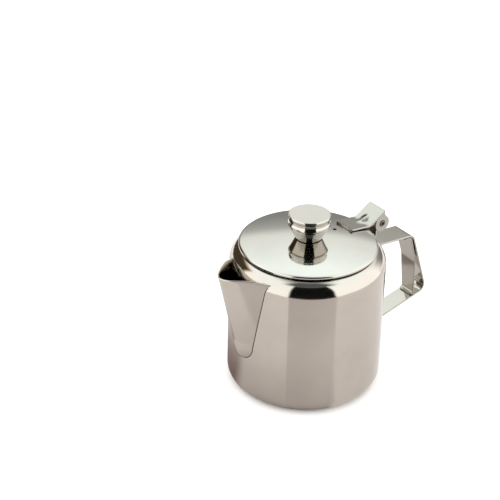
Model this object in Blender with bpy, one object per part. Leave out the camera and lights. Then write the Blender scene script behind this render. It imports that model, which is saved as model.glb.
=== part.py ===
"""Coffee pot of polished stainless steel.

A drawn body with a narrowed neck, a V-shaped beak spout, a strap handle with an inner grip
strap, and a domed lid that swings on a rolled hinge pin.

Frame: Z up, origin on the pot's axis in the plane that the base rests on. The spout points
along -X and the handle along +X. Lengths are given in millimetres and turned into metres
by MM.
"""

import math

import bmesh
import bpy
from mathutils import Matrix, Vector

MM = 0.001
CLEARANCE = 0.3          # gap kept between pieces that touch or are welded

# Body
BODY_RADIUS = 55.0
WALL = 1.0
BASE_CORNER = 9.5        # radius where the wall turns into the base
SHOULDER_RADIUS = 12.0
SHOULDER_START = 93.5    # height where the wall ends and the shoulder begins
NECK_RADIUS = 46.0
NECK_TOP = 106.6
BODY_SEGMENTS = 72

# Holes that let the coffee through the wall into the spout
HOLE_RADIUS = 2.0
HOLE_PITCH = 8.0
HOLE_LOWEST_ROW = 60.0
HOLES_PER_ROW = (2, 3, 4, 3, 4)

# Spout
SPOUT_THICKNESS = 0.9
SPOUT_BOTTOM = 33.4
SPOUT_BEND_TOP = 49.0    # above this height the front ridge is straight
SPOUT_RIDGE_AT_BEND = 61.15
SPOUT_RIDGE_SLOPE = 0.252
SPOUT_SIDE_TOP = 45.0    # above this height the seam lines are straight
SPOUT_SIDE_AT_BEND = 11.2
SPOUT_SIDE_SLOPE = 0.192
SPOUT_BLUNT_TOP = 0.48    # 0 is a sharp V, 1 is nearly an arc
SPOUT_BLUNT_BOTTOM = 0.9
SPOUT_TIP_Z = 102.3
# The cut edge of the lip seen from the side, as (distance from the axis, height)
SPOUT_LIP_LINE = ((26.0, 98.4), (49.4, 99.3), (53.2, 100.7), (56.6, 102.2), (60.0, 103.0),
                  (66.0, 102.9), (74.6, 102.3), (95.0, 101.0))
SPOUT_STEPS = 7          # steps on each side of the ridge
SPOUT_LEVELS = 14

# Handle straps
STRAP = 1.3
HANDLE_WIDTH_TOP = 18.4
HANDLE_WIDTH_BOTTOM = 14.6
HANDLE_UPPER_CORNER = (90.5, 89.3)    # (distance from the axis, height) of the strap's middle
HANDLE_LOWER_CORNER = (109.3, 38.0)
INNER_STRAP = 1.1
INNER_STRAP_NARROWER = 1.2
# The inner strap's middle: under the top arm, down beside the grip, and its short lower foot
INNER_STRAP_CORNERS = ((83.5, 87.8), (89.4, 87.4), (95.7, 67.0), (98.2, 36.8), (95.4, 36.1))
INNER_STRAP_BENDS = (3.0, 25.0, 1.6)

# Lid
LID_RADIUS = 48.7
LID_RIM_Z = 107.8
LID_CROWN_Z = 111.7
LID_SHEET = 0.9
LID_SKIRT_Z = 105.8
LID_CORNER = 0.9
LID_HOLE_RADIUS = 2.4
VENT_X = 23.0
VENT_RADIUS = 1.4

# Hinge
PIN_X = 59.6
PIN_Z = 108.5
PIN_RADIUS = 2.2
PIN_BORE = 1.3
PIN_LENGTH = 18.6
HINGE_SHEET = 1.2
HINGE_WIDTH = 17.6
HINGE_TONGUE_START = 31.0
HINGE_BEND_X = 49.2
HINGE_TIP = (62.2, 117.9)
EAR_RADIUS = 6.2
BRACKET_SHEET = 1.1
BRACKET_WIDTH = 14.2
BRACKET_FOOT_Z = 78.0

# Knob
KNOB_RADIUS = 14.8
KNOB_FOOT_RADIUS = 9.3
KNOB_RIDGE_Z = 121.4
KNOB_TOP_Z = 130.0
KNOB_SHEET = 1.0
SCREW_RADIUS = 2.0
SCREW_HEAD_RADIUS = 4.0
WASHER_RADIUS = 5.5
NUT_ACROSS_FLATS = 7.0


# ---------------------------------------------------------------- helpers

def clear_scene():
    for thing in list(bpy.data.objects):
        bpy.data.objects.remove(thing, do_unlink=True)


def make_material(name, colour, roughness):
    material = bpy.data.materials.new(name)
    material.use_nodes = True
    shader = material.node_tree.nodes["Principled BSDF"]
    shader.inputs["Base Color"].default_value = (*colour, 1.0)
    shader.inputs["Metallic"].default_value = 1.0
    shader.inputs["Roughness"].default_value = roughness
    return material


def finish_mesh(name, bm, material, origin=(0.0, 0.0, 0.0), sharp_angle=35.0):
    """Turn a bmesh in millimetres into a shaded object in metres, with its own origin."""
    bmesh.ops.recalc_face_normals(bm, faces=bm.faces)
    start = Vector(origin)
    bmesh.ops.translate(bm, verts=bm.verts, vec=-start)
    bmesh.ops.scale(bm, verts=bm.verts, vec=(MM, MM, MM))
    mesh = bpy.data.meshes.new(name)
    bm.to_mesh(mesh)
    bm.free()
    mesh.shade_smooth()
    mesh.set_sharp_from_angle(angle=math.radians(sharp_angle))
    thing = bpy.data.objects.new(name, mesh)
    thing.location = start * MM
    bpy.context.scene.collection.objects.link(thing)
    if material is not None:
        mesh.materials.append(material)
    return thing


def make_cutter(name, bm):
    cutter = finish_mesh(name, bm, None)
    cutter.hide_render = True
    cutter.display_type = 'WIRE'
    return cutter


def combine(thing, other, operation):
    modifier = thing.modifiers.new(other.name, 'BOOLEAN')
    modifier.operation = operation
    modifier.object = other
    modifier.solver = 'EXACT'


def arc(centre, radius, start, end, steps):
    """Points on an arc in the (radius, height) plane, angles in degrees."""
    points = []
    for i in range(steps + 1):
        angle = math.radians(start + (end - start) * i / steps)
        points.append((centre[0] + radius * math.cos(angle),
                       centre[1] + radius * math.sin(angle)))
    return points


def turned(profile, segments):
    """A solid of revolution about Z. The profile is a closed outline of (radius, height)."""
    bm = bmesh.new()
    rings = []
    for radius, height in profile:
        if radius < 1e-6:
            rings.append([bm.verts.new((0.0, 0.0, height))])
            continue
        ring = []
        for k in range(segments):
            angle = 2.0 * math.pi * k / segments
            ring.append(bm.verts.new((radius * math.cos(angle),
                                      radius * math.sin(angle), height)))
        rings.append(ring)
    for ring, after in zip(rings, rings[1:] + rings[:1]):
        for k in range(segments):
            m = (k + 1) % segments
            corners = [ring[k % len(ring)], ring[m % len(ring)],
                       after[m % len(after)], after[k % len(after)]]
            face = [v for i, v in enumerate(corners) if v not in corners[:i]]
            if len(face) > 2:
                bm.faces.new(face)
    return bm


def rounded_path(corners, radii, steps):
    """A path through the corners, each inner corner replaced by an arc of its radius."""
    path = [Vector(corners[0])]
    for before, corner, after, radius in zip(corners, corners[1:], corners[2:], radii):
        here = Vector(corner)
        back = (Vector(before) - here).normalized()
        ahead = (Vector(after) - here).normalized()
        half = back.angle(ahead) / 2.0
        centre = here + (back + ahead).normalized() * (radius / math.sin(half))
        start = here + back * (radius / math.tan(half)) - centre
        end = here + ahead * (radius / math.tan(half)) - centre
        turn = start.angle_signed(end)
        for i in range(steps + 1):
            path.append(centre + Matrix.Rotation(-turn * i / steps, 2) @ start)
    path.append(Vector(corners[-1]))
    return path


def strap(path, thickness, widths):
    """A flat strap that follows a path in the XZ plane, with its width along Y."""
    bm = bmesh.new()
    sections = []
    for i, point in enumerate(path):
        before = path[max(i - 1, 0)]
        after = path[min(i + 1, len(path) - 1)]
        along = (after - before).normalized()
        into = (point - before).normalized() if i > 0 else along
        miter = 1.0 / max(along.dot(into), 0.5)
        offset = Vector((-along.y, along.x)) * (thickness / 2.0 * miter)
        half = widths[i] / 2.0
        section = []
        for place, y in ((point + offset, -half), (point + offset, half),
                         (point - offset, half), (point - offset, -half)):
            section.append(bm.verts.new((place.x, y, place.y)))
        sections.append(section)
    for section, after in zip(sections, sections[1:]):
        for k in range(4):
            m = (k + 1) % 4
            bm.faces.new((section[k], section[m], after[m], after[k]))
    bm.faces.new(sections[0])
    bm.faces.new(list(reversed(sections[-1])))
    return bm


def even_widths(path, width):
    return [width] * len(path)


def plate(outline, y_low, y_high):
    """A flat plate whose outline lies in the XZ plane."""
    bm = bmesh.new()
    low = [bm.verts.new((x, y_low, z)) for x, z in outline]
    high = [bm.verts.new((x, y_high, z)) for x, z in outline]
    bm.faces.new(low)
    bm.faces.new(list(reversed(high)))
    for i in range(len(outline)):
        j = (i + 1) % len(outline)
        bm.faces.new((low[i], low[j], high[j], high[i]))
    return bm


def rod(centre, direction, radius, length, segments):
    """A cylinder centred on a point, along a direction."""
    bm = bmesh.new()
    turn = Vector((0.0, 0.0, 1.0)).rotation_difference(Vector(direction)).to_matrix()
    bmesh.ops.create_cone(bm, cap_ends=True, segments=segments, radius1=radius,
                          radius2=radius, depth=length,
                          matrix=Matrix.Translation(centre) @ turn.to_4x4())
    return bm


# ---------------------------------------------------------------- body

def body_outer_profile(grow=0.0):
    """The body's outside from the base centre up to the neck, moved out by grow."""
    corner = (BODY_RADIUS - BASE_CORNER, BASE_CORNER)
    shoulder = (BODY_RADIUS - SHOULDER_RADIUS, SHOULDER_START)
    reach = SHOULDER_RADIUS + grow
    last = math.degrees(math.acos((NECK_RADIUS + grow - shoulder[0]) / reach))
    points = [(0.0, -grow)]
    points += arc(corner, BASE_CORNER + grow, -90.0, 0.0, 7)
    points += arc(shoulder, reach, 0.0, last, 8)
    return points


def build_body(material):
    outer = body_outer_profile()
    inner = body_outer_profile(-WALL)
    lip = [(NECK_RADIUS, NECK_TOP - 0.4), (NECK_RADIUS - 0.4, NECK_TOP),
           (NECK_RADIUS - WALL, NECK_TOP)]
    body = finish_mesh("body_shell", turned(outer + lip + inner[::-1], BODY_SEGMENTS), material)
    bm = bmesh.new()
    for row, count in enumerate(HOLES_PER_ROW):
        for i in range(count):
            turn = math.pi + (i - (count - 1) / 2.0) * HOLE_PITCH / BODY_RADIUS
            outward = Vector((math.cos(turn), math.sin(turn), 0.0))
            centre = outward * (BODY_RADIUS - WALL / 2.0)
            centre.z = HOLE_LOWEST_ROW + row * (HOLE_PITCH - 0.5)
            hole = rod(centre, outward, HOLE_RADIUS, 6.0, 12)
            spare = bpy.data.meshes.new("hole")
            hole.to_mesh(spare)
            hole.free()
            bm.from_mesh(spare)
            bpy.data.meshes.remove(spare)
    combine(body, make_cutter("strainer_holes", bm), 'DIFFERENCE')


# ---------------------------------------------------------------- spout

def spout_ridge(height):
    """How far the front ridge stands from the axis at a height on it."""
    if height >= SPOUT_BEND_TOP:
        return SPOUT_RIDGE_AT_BEND + SPOUT_RIDGE_SLOPE * (height - SPOUT_BEND_TOP)
    drop = (SPOUT_BEND_TOP - height) / (SPOUT_BEND_TOP - SPOUT_BOTTOM)
    rise = math.sqrt(max(1.0 - drop * drop, 0.0))
    return BODY_RADIUS + (SPOUT_RIDGE_AT_BEND - BODY_RADIUS) * rise


def spout_half_width(height):
    """Half the spout's width along the wall at a height on the wall."""
    if height >= SPOUT_SIDE_TOP:
        return SPOUT_SIDE_AT_BEND + SPOUT_SIDE_SLOPE * (height - SPOUT_SIDE_TOP)
    drop = (SPOUT_SIDE_TOP - height) / (SPOUT_SIDE_TOP - SPOUT_BOTTOM)
    return max(SPOUT_SIDE_AT_BEND * math.sqrt(max(1.0 - drop * drop, 0.0)), 1.0)


def spout_section(height, inset):
    """A level section as (distance from the axis, y), with both ends inside the wall.

    The front is a hyperbola: a V with a rounded nose, sharper towards the lip.
    """
    ridge = spout_ridge(height)
    half = spout_half_width(height)
    wall_x = BODY_RADIUS * math.cos(half / BODY_RADIUS)
    wall_y = BODY_RADIUS * math.sin(half / BODY_RADIUS)
    share = min(max((height - SPOUT_BEND_TOP) / (SPOUT_TIP_Z - SPOUT_BEND_TOP), 0.0), 1.0)
    blunt = SPOUT_BLUNT_BOTTOM + (SPOUT_BLUNT_TOP - SPOUT_BLUNT_BOTTOM) * share
    reach = math.hypot(1.0, blunt) - blunt
    front = []
    for i in range(-SPOUT_STEPS, SPOUT_STEPS + 1):
        across = math.sin(math.pi / 2.0 * i / SPOUT_STEPS)
        across = 0.45 * across + 0.55 * i / SPOUT_STEPS
        back = (math.hypot(across, blunt) - blunt) / reach
        front.append(Vector((ridge - (ridge - wall_x) * back, wall_y * across)))
    front.insert(0, front[0] + (front[0] - front[1]).normalized() * 4.0)
    front.append(front[-1] + (front[-1] - front[-2]).normalized() * 4.0)
    moved = []
    for i, point in enumerate(front):
        along = (front[min(i + 1, len(front) - 1)] - front[max(i - 1, 0)]).normalized()
        moved.append(point - Vector((along.y, -along.x)) * inset)
    root = min(point.x for point in moved) - 8.0
    return [(root, moved[0].y)] + [tuple(p) for p in moved] + [(root, moved[-1].y)]


def spout_solid(bottom, top, inset, lift):
    """The spout as a filled solid between two heights, reaching into the wall.

    Near the bottom each section is raised by lift, so that the floor has its thickness.
    """
    bm = bmesh.new()
    rings = []
    for i in range(SPOUT_LEVELS + 1):
        share = i / SPOUT_LEVELS
        height = bottom + (top - bottom) * (0.35 * share + 0.65 * share * share)
        raised = lift * (1.0 - share) ** 2
        ring = [bm.verts.new((-x, y, height + raised)) for x, y in spout_section(height, inset)]
        rings.append(ring)
    for ring, after in zip(rings, rings[1:]):
        for k in range(len(ring)):
            m = (k + 1) % len(ring)
            bm.faces.new((ring[k], ring[m], after[m], after[k]))
    bm.faces.new(rings[0])
    bm.faces.new(list(reversed(rings[-1])))
    return bm


def build_spout(material):
    above = SPOUT_TIP_Z + 8.0
    shell = spout_solid(SPOUT_BOTTOM, above - 2.0, 0.0, 0.0)
    spout = finish_mesh("spout_shell", shell, material)
    hollow = spout_solid(SPOUT_BOTTOM + 1.0, above, SPOUT_THICKNESS, 0.8)
    combine(spout, make_cutter("spout_hollow", hollow), 'DIFFERENCE')

    outline = [(-x, height) for x, height in SPOUT_LIP_LINE]
    outline += [(outline[-1][0], above + 5.0), (outline[0][0], above + 5.0)]
    combine(spout, make_cutter("spout_lip_plane", plate(outline, -60.0, 60.0)), 'DIFFERENCE')

    keep_out = body_outer_profile(CLEARANCE)
    keep_out += [(NECK_RADIUS + CLEARANCE, above + 6.0), (0.0, above + 6.0)]
    combine(spout, make_cutter("spout_wall_line", turned(keep_out, BODY_SEGMENTS)),
            'DIFFERENCE')


# ---------------------------------------------------------------- handle

def tapered_widths(path):
    """Full width on the top arm, narrowing down the grip to the lower arm."""
    widths = []
    top = 84.0
    bottom = 42.0
    for point in path:
        share = min(max((top - point.y) / (top - bottom), 0.0), 1.0)
        narrow = (HANDLE_WIDTH_TOP - HANDLE_WIDTH_BOTTOM) * share
        upper_foot = point.x < BODY_RADIUS + 6.0 and point.y > 60.0
        widths.append(HANDLE_WIDTH_TOP if upper_foot else HANDLE_WIDTH_TOP - narrow)
    return widths


def split_path(path, longest):
    """Add points so that no step of the path is longer than the given length."""
    points = [path[0]]
    for before, after in zip(path, path[1:]):
        pieces = max(1, math.ceil((after - before).length / longest))
        points += [before.lerp(after, i / pieces) for i in range(1, pieces + 1)]
    return points


def build_handle(material, inner_material):
    upper_foot_x = BODY_RADIUS + CLEARANCE * 2 + BRACKET_SHEET + STRAP / 2.0 + 0.1
    lower_foot_x = BODY_RADIUS + CLEARANCE + STRAP / 2.0
    corners = [(upper_foot_x, 79.5), (upper_foot_x, 91.3), HANDLE_UPPER_CORNER,
               HANDLE_LOWER_CORNER, (lower_foot_x, 24.0), (lower_foot_x, 12.4)]
    path = split_path(rounded_path(corners, (2.6, 5.2, 5.8, 2.6), 6), 12.0)
    finish_mesh("handle_outer_strap", strap(path, STRAP, tapered_widths(path)), material)

    path = split_path(rounded_path(INNER_STRAP_CORNERS, INNER_STRAP_BENDS, 6), 12.0)
    widths = [width - INNER_STRAP_NARROWER for width in tapered_widths(path)]
    finish_mesh("handle_inner_strap", strap(path, INNER_STRAP, widths), inner_material)


# ---------------------------------------------------------------- lid

def lid_height(radius):
    """Height of the lid's domed upper face."""
    return LID_CROWN_Z - (LID_CROWN_Z - LID_RIM_Z) * (radius / LID_RADIUS) ** 2


def build_lid(material):
    top = [(r, lid_height(r)) for r in (LID_HOLE_RADIUS, 10.0, 18.0, 26.0, 33.0, 39.0, 44.0)]
    corner = (LID_RADIUS - LID_CORNER, LID_RIM_Z - LID_CORNER)
    upper = top + arc(corner, LID_CORNER, 80.0, 0.0, 4) + [(LID_RADIUS, LID_SKIRT_Z)]
    inside = LID_RADIUS - LID_SHEET
    under = [(inside, LID_SKIRT_Z), (inside, LID_RIM_Z - 1.25)]
    under += [(r, lid_height(r) - LID_SHEET) for r, _ in reversed(top)]
    disc = turned(upper + under, BODY_SEGMENTS)
    lid = finish_mesh("lid_disc", disc, material, origin=(PIN_X, 0.0, PIN_Z))
    vent = rod((VENT_X, 0.0, lid_height(VENT_X)), (0, 0, 1), VENT_RADIUS, 8.0, 16)
    combine(lid, make_cutter("vent_hole", vent), 'DIFFERENCE')


# ---------------------------------------------------------------- hinge

def build_hinge_strap(material):
    """Tongue on the lid, thumb plate and the two ears that turn on the pin."""
    half = HINGE_SHEET / 2.0
    lift = CLEARANCE + half
    corners = [(HINGE_TONGUE_START, lid_height(HINGE_TONGUE_START) + lift),
               (HINGE_BEND_X, LID_RIM_Z + lift + 0.55), HINGE_TIP]
    path = split_path(rounded_path(corners, (9.0,), 6), 10.0)
    hinge = finish_mesh("lid_hinge_strap", strap(path, HINGE_SHEET, even_widths(path, HINGE_WIDTH)),
                        material, origin=(PIN_X, 0.0, PIN_Z))
    along = (Vector(corners[2]) - Vector(corners[1])).normalized()
    low = Vector(corners[1]) + along * 3.2
    high = Vector(corners[2]) - along * 1.2
    rim = arc((PIN_X, PIN_Z), EAR_RADIUS, 62.0, -215.0, 16)
    outline = [tuple(low), tuple(high)] + rim
    for side, name in ((-1, "near_ear"), (1, "far_ear")):
        edges = sorted((side * HINGE_WIDTH / 2.0, side * (HINGE_WIDTH / 2.0 - HINGE_SHEET)))
        ear = plate(outline, edges[0], edges[1])
        combine(hinge, make_cutter(name, ear), 'UNION')
    hole = rod((PIN_X, 0.0, PIN_Z), (0, 1, 0), PIN_RADIUS + CLEARANCE, HINGE_WIDTH + 4.0, 32)
    combine(hinge, make_cutter("ear_holes", hole), 'DIFFERENCE')


def build_hinge_bracket(material):
    """Foot on the wall, and a knuckle rolled round the pin."""
    reach = PIN_RADIUS + CLEARANCE + BRACKET_SHEET / 2.0
    foot_x = BODY_RADIUS + CLEARANCE + BRACKET_SHEET / 2.0
    path = [Vector((foot_x, BRACKET_FOOT_Z)), Vector((foot_x, 92.0)), Vector((foot_x, 97.0))]
    path += [Vector(p) for p in arc((PIN_X, PIN_Z), reach, 185.0, -125.0, 22)]
    bracket = strap(path, BRACKET_SHEET, even_widths(path, BRACKET_WIDTH))
    finish_mesh("hinge_bracket", bracket, material)


def build_hinge_pin(material):
    half = PIN_LENGTH / 2.0
    edge = 0.3
    outline = [(PIN_BORE, -half), (PIN_RADIUS - edge, -half), (PIN_RADIUS, -half + edge),
               (PIN_RADIUS, half - edge), (PIN_RADIUS - edge, half), (PIN_BORE, half)]
    bm = turned(outline, 28)
    bmesh.ops.rotate(bm, verts=bm.verts, cent=(0, 0, 0),
                     matrix=Matrix.Rotation(math.pi / 2.0, 3, 'X'))
    bmesh.ops.translate(bm, verts=bm.verts, vec=(PIN_X, 0.0, PIN_Z))
    finish_mesh("hinge_pin", bm, material, origin=(PIN_X, 0.0, PIN_Z))


# ---------------------------------------------------------------- knob

def build_knob(cap_material, base_material, fastener_material):
    pivot = (PIN_X, 0.0, PIN_Z)
    foot = LID_CROWN_Z + CLEARANCE
    lip = KNOB_RADIUS - 0.7
    side = KNOB_SHEET * 1.2
    base = [(LID_HOLE_RADIUS, foot), (KNOB_FOOT_RADIUS - 0.4, foot),
            (KNOB_FOOT_RADIUS, foot + 0.4), (lip, KNOB_RIDGE_Z - 0.5), (lip, KNOB_RIDGE_Z),
            (lip - side, KNOB_RIDGE_Z), (KNOB_FOOT_RADIUS - side, foot + 1.4),
            (LID_HOLE_RADIUS, foot + 1.4)]
    finish_mesh("knob_base", turned(base, 48), base_material, origin=pivot)

    bottom = KNOB_RIDGE_Z + CLEARANCE
    waist = KNOB_RADIUS - 0.8
    middle = (bottom + KNOB_TOP_Z) / 2.0
    cap = [(0.0, KNOB_TOP_Z)]
    cap += arc((KNOB_RADIUS - 0.8, KNOB_TOP_Z - 0.8), 0.8, 90.0, 0.0, 4)
    cap += [(KNOB_RADIUS - 0.5, KNOB_TOP_Z - 2.2), (waist, middle + 0.6),
            (waist, middle - 0.8), (KNOB_RADIUS - 0.5, bottom + 2.4)]
    cap += arc((KNOB_RADIUS - 0.8, bottom + 0.8), 0.8, 20.0, -90.0, 4)
    cap += [(waist - KNOB_SHEET - 0.4, bottom), (waist - KNOB_SHEET, KNOB_TOP_Z - KNOB_SHEET),
            (0.0, KNOB_TOP_Z - KNOB_SHEET)]
    finish_mesh("knob_cap", turned(cap, 48), cap_material, origin=pivot)

    under = LID_CROWN_Z - LID_SHEET - CLEARANCE
    bore = SCREW_RADIUS + CLEARANCE
    washer = [(bore, under), (WASHER_RADIUS, under), (WASHER_RADIUS, under - 0.9),
              (bore, under - 0.9)]
    finish_mesh("knob_washer", turned(washer, 24), fastener_material, origin=pivot)

    head_top = under - 0.9 - CLEARANCE
    nut_low = foot + 1.4 + CLEARANCE
    nut_high = nut_low + 3.2
    screw = [(0.0, head_top - 2.4), (SCREW_HEAD_RADIUS - 1.2, head_top - 2.4),
             (SCREW_HEAD_RADIUS - 0.3, head_top - 1.5), (SCREW_HEAD_RADIUS, head_top),
             (SCREW_RADIUS, head_top), (SCREW_RADIUS, nut_high + 0.6),
             (SCREW_RADIUS - 0.4, nut_high + 1.0), (0.0, nut_high + 1.0)]
    finish_mesh("knob_screw", turned(screw, 24), fastener_material, origin=pivot)

    corner = NUT_ACROSS_FLATS / math.sqrt(3.0)
    nut = finish_mesh("knob_nut", rod((0, 0, (nut_low + nut_high) / 2.0), (0, 0, 1), corner,
                                      nut_high - nut_low, 6),
                      fastener_material, origin=pivot)
    thread = rod((0, 0, nut_low), (0, 0, 1), bore, 20.0, 24)
    combine(nut, make_cutter("nut_thread", thread), 'DIFFERENCE')


# ---------------------------------------------------------------- assembly

def build():
    clear_scene()
    polished = (0.62, 0.60, 0.57)
    plain = (0.50, 0.49, 0.47)
    build_body(make_material("body_steel", polished, 0.10))
    build_spout(make_material("spout_steel", polished, 0.12))
    build_handle(make_material("handle_steel", polished, 0.14),
                 make_material("grip_strap_steel", polished, 0.16))
    build_lid(make_material("lid_steel", polished, 0.10))
    build_hinge_strap(make_material("hinge_strap_steel", polished, 0.14))
    build_hinge_bracket(make_material("bracket_steel", plain, 0.22))
    build_hinge_pin(make_material("pin_steel", plain, 0.28))
    build_knob(make_material("knob_cap_steel", polished, 0.08),
               make_material("knob_base_steel", polished, 0.10),
               make_material("fastener_steel", plain, 0.30))


build()
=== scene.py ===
import math

import bmesh
import bpy
from mathutils import Matrix, Vector


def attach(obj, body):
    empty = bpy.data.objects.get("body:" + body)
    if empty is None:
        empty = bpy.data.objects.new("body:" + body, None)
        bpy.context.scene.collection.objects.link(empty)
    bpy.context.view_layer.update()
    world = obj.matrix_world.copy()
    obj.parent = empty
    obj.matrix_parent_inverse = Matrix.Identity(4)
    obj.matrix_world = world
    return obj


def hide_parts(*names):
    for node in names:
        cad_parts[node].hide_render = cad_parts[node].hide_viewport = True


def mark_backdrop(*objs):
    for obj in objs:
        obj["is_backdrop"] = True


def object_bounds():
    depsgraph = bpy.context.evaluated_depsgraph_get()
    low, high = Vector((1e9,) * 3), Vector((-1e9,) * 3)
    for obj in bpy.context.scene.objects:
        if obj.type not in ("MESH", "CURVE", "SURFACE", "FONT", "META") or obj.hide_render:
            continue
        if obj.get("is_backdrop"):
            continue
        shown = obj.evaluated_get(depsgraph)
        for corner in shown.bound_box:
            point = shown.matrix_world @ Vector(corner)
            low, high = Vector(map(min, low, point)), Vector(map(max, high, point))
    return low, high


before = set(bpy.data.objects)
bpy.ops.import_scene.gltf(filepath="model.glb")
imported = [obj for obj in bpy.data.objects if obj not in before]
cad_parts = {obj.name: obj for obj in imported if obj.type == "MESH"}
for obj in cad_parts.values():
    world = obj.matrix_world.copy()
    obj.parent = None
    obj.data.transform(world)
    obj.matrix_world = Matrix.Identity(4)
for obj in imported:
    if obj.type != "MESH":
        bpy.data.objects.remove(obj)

cad_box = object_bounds()

MM = 0.001

# ------------------------------------------------------------------ dimensions, in millimetres

BODY_RADIUS = 55.0
WALL = 1.0
BASE_CORNER = 9.5
SHOULDER_RADIUS = 12.0
SHOULDER_START = 93.5
NECK_RADIUS = 46.0
NECK_TOP = 106.6

HOLE_RADIUS = 2.0
HOLE_PITCH = 8.0
HOLE_ROW_STEP = 7.5
HOLE_LOWEST_ROW = 60.0
HOLES_PER_ROW = (2, 3, 4, 3, 4)

SPOUT_THICKNESS = 0.9
SPOUT_BOTTOM = 33.4
SPOUT_BEND_TOP = 49.0
SPOUT_RIDGE_AT_BEND = 61.15
SPOUT_RIDGE_SLOPE = 0.252
SPOUT_SIDE_TOP = 45.0
SPOUT_SIDE_AT_BEND = 11.2
SPOUT_SIDE_SLOPE = 0.192
SPOUT_BLUNT_TOP = 0.48
SPOUT_BLUNT_BOTTOM = 0.9
SPOUT_TIP_Z = 102.3
SPOUT_LIP_LINE = ((26.0, 98.4), (49.4, 99.3), (53.2, 100.7), (56.6, 102.2), (60.0, 103.0),
                  (66.0, 102.9), (74.6, 102.3), (95.0, 101.0))

STRAP = 1.3
HANDLE_WIDTH_TOP = 18.4
HANDLE_WIDTH_BOTTOM = 14.6
HANDLE_UPPER_CORNER = (90.5, 89.3)    # (distance from the axis, height) of the strap's middle
HANDLE_LOWER_CORNER = (109.3, 38.0)
INNER_STRAP = 1.1
INNER_STRAP_NARROWER = 1.2
# The inner strap's middle and its bends: under the top arm, down beside the grip, lower foot
INNER_STRAP_CORNERS = ((83.5, 87.8, 0), (89.4, 87.4, 3.0), (95.7, 67.0, 25.0), (98.2, 36.8, 1.6),
                       (95.4, 36.1, 0))

LID_RADIUS = 48.7
LID_RIM_Z = 107.8
LID_CROWN_Z = 111.7
LID_SHEET = 0.9
LID_SKIRT_Z = 105.8
LID_CORNER = 0.9
LID_HOLE_RADIUS = 2.4
VENT_X = 23.0
VENT_RADIUS = 1.4
VENT_NEAR = 20.0         # the lid's surface is divided anew round the vent between these radii
VENT_FAR = 26.0

PIN_X = 59.6
PIN_Z = 108.5
PIN_RADIUS = 2.2
PIN_BORE = 1.3
PIN_LENGTH = 18.6
HINGE_SHEET = 1.2
HINGE_WIDTH = 17.6
HINGE_TONGUE_START = 31.0
HINGE_BEND_X = 49.2
HINGE_TIP = (62.2, 117.9)
EAR_RADIUS = 6.2
EAR_BEVEL = 0.32
BRACKET_SHEET = 1.1
BRACKET_WIDTH = 14.2
BRACKET_FOOT_Z = 78.0
DIMPLE_LENGTH = 4.4
DIMPLE_WIDTH = 3.0
DIMPLE_HEIGHT = 1.5

KNOB_RADIUS = 14.8
KNOB_FOOT_RADIUS = 9.3
KNOB_RIDGE_Z = 121.4
KNOB_TOP_Z = 130.0

GAP = 0.3                # gap between neighbouring pieces, as in the CAD model

# ------------------------------------------------------------------ studio, in metres

# The camera's heading from the +Y axis, its tilt below level and its roll
VIEW_AZIMUTH = math.radians(36.0)
VIEW_TILT = math.radians(29.588)
VIEW_ROLL = math.radians(1.32)
CAMERA_PLACE = (-0.5235, -0.6519, 0.5744)
CAMERA_LENS = 99.3
TENT_RADIUS = 4.0
TENT_CENTRE = 0.09
FLOOR_COLOUR = (0.93, 0.915, 0.90, 1.0)
FLOOR_LIGHT = 1.75


# ------------------------------------------------------------------ mesh helpers

def new_object(name, bm):
    """A scene object that takes over the geometry of a bmesh."""
    mesh = bpy.data.meshes.new(name)
    bm.to_mesh(mesh)
    bm.free()
    thing = bpy.data.objects.new(name, mesh)
    bpy.context.scene.collection.objects.link(thing)
    return thing


def make_piece(name, bm, material, body, nodes, sharp=50.0):
    """A finished piece: millimetres to metres, smooth shading, on its body."""
    bmesh.ops.recalc_face_normals(bm, faces=bm.faces)
    bmesh.ops.scale(bm, verts=bm.verts, vec=(MM, MM, MM))
    thing = new_object(name, bm)
    thing.data.shade_smooth()
    thing.data.set_sharp_from_angle(angle=math.radians(sharp))
    thing.data.materials.append(material)
    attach(thing, body)
    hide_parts(*nodes)


def cut(bm, hole, bevel=None):
    """The bmesh without the volume of another, and then with a bevel along its edges."""
    bmesh.ops.recalc_face_normals(bm, faces=bm.faces)
    bmesh.ops.recalc_face_normals(hole, faces=hole.faces)
    thing = new_object("work", bm)
    helper = new_object("helper", hole)
    modifier = thing.modifiers.new("cut", 'BOOLEAN')
    modifier.operation = 'DIFFERENCE'
    modifier.object = helper
    modifier.solver = 'EXACT'
    if bevel:
        modifier = thing.modifiers.new("edges", 'BEVEL')
        modifier.width = bevel
        modifier.segments = 3
        modifier.limit_method = 'ANGLE'
        modifier.angle_limit = math.radians(40.0)
        modifier.miter_outer = 'MITER_ARC'
    bpy.context.view_layer.update()
    result = bmesh.new()
    result.from_object(thing, bpy.context.evaluated_depsgraph_get())
    for item in (thing, helper):
        bpy.data.objects.remove(item, do_unlink=True)
    return result


def join_meshes(target, other):
    """Add the geometry of one bmesh to another."""
    spare = bpy.data.meshes.new("spare")
    other.to_mesh(spare)
    other.free()
    target.from_mesh(spare)
    bpy.data.meshes.remove(spare)


def share_of(value, start, end):
    """How far a value has come from start to end, held between 0 and 1."""
    return min(max((value - start) / (end - start), 0.0), 1.0)


def eased(share):
    """The same share with a soft start and a soft stop."""
    return share * share * (3.0 - 2.0 * share)


def lengths_along(points):
    """The distance of each point of a polyline from its start."""
    lengths = [0.0]
    for before, after in zip(points, points[1:]):
        lengths.append(lengths[-1] + (after - before).length)
    return lengths


def arc(centre, radius, start, end, steps):
    points = []
    for i in range(steps + 1):
        angle = math.radians(start + (end - start) * i / steps)
        points.append((centre[0] + radius * math.cos(angle),
                       centre[1] + radius * math.sin(angle)))
    return points


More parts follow.
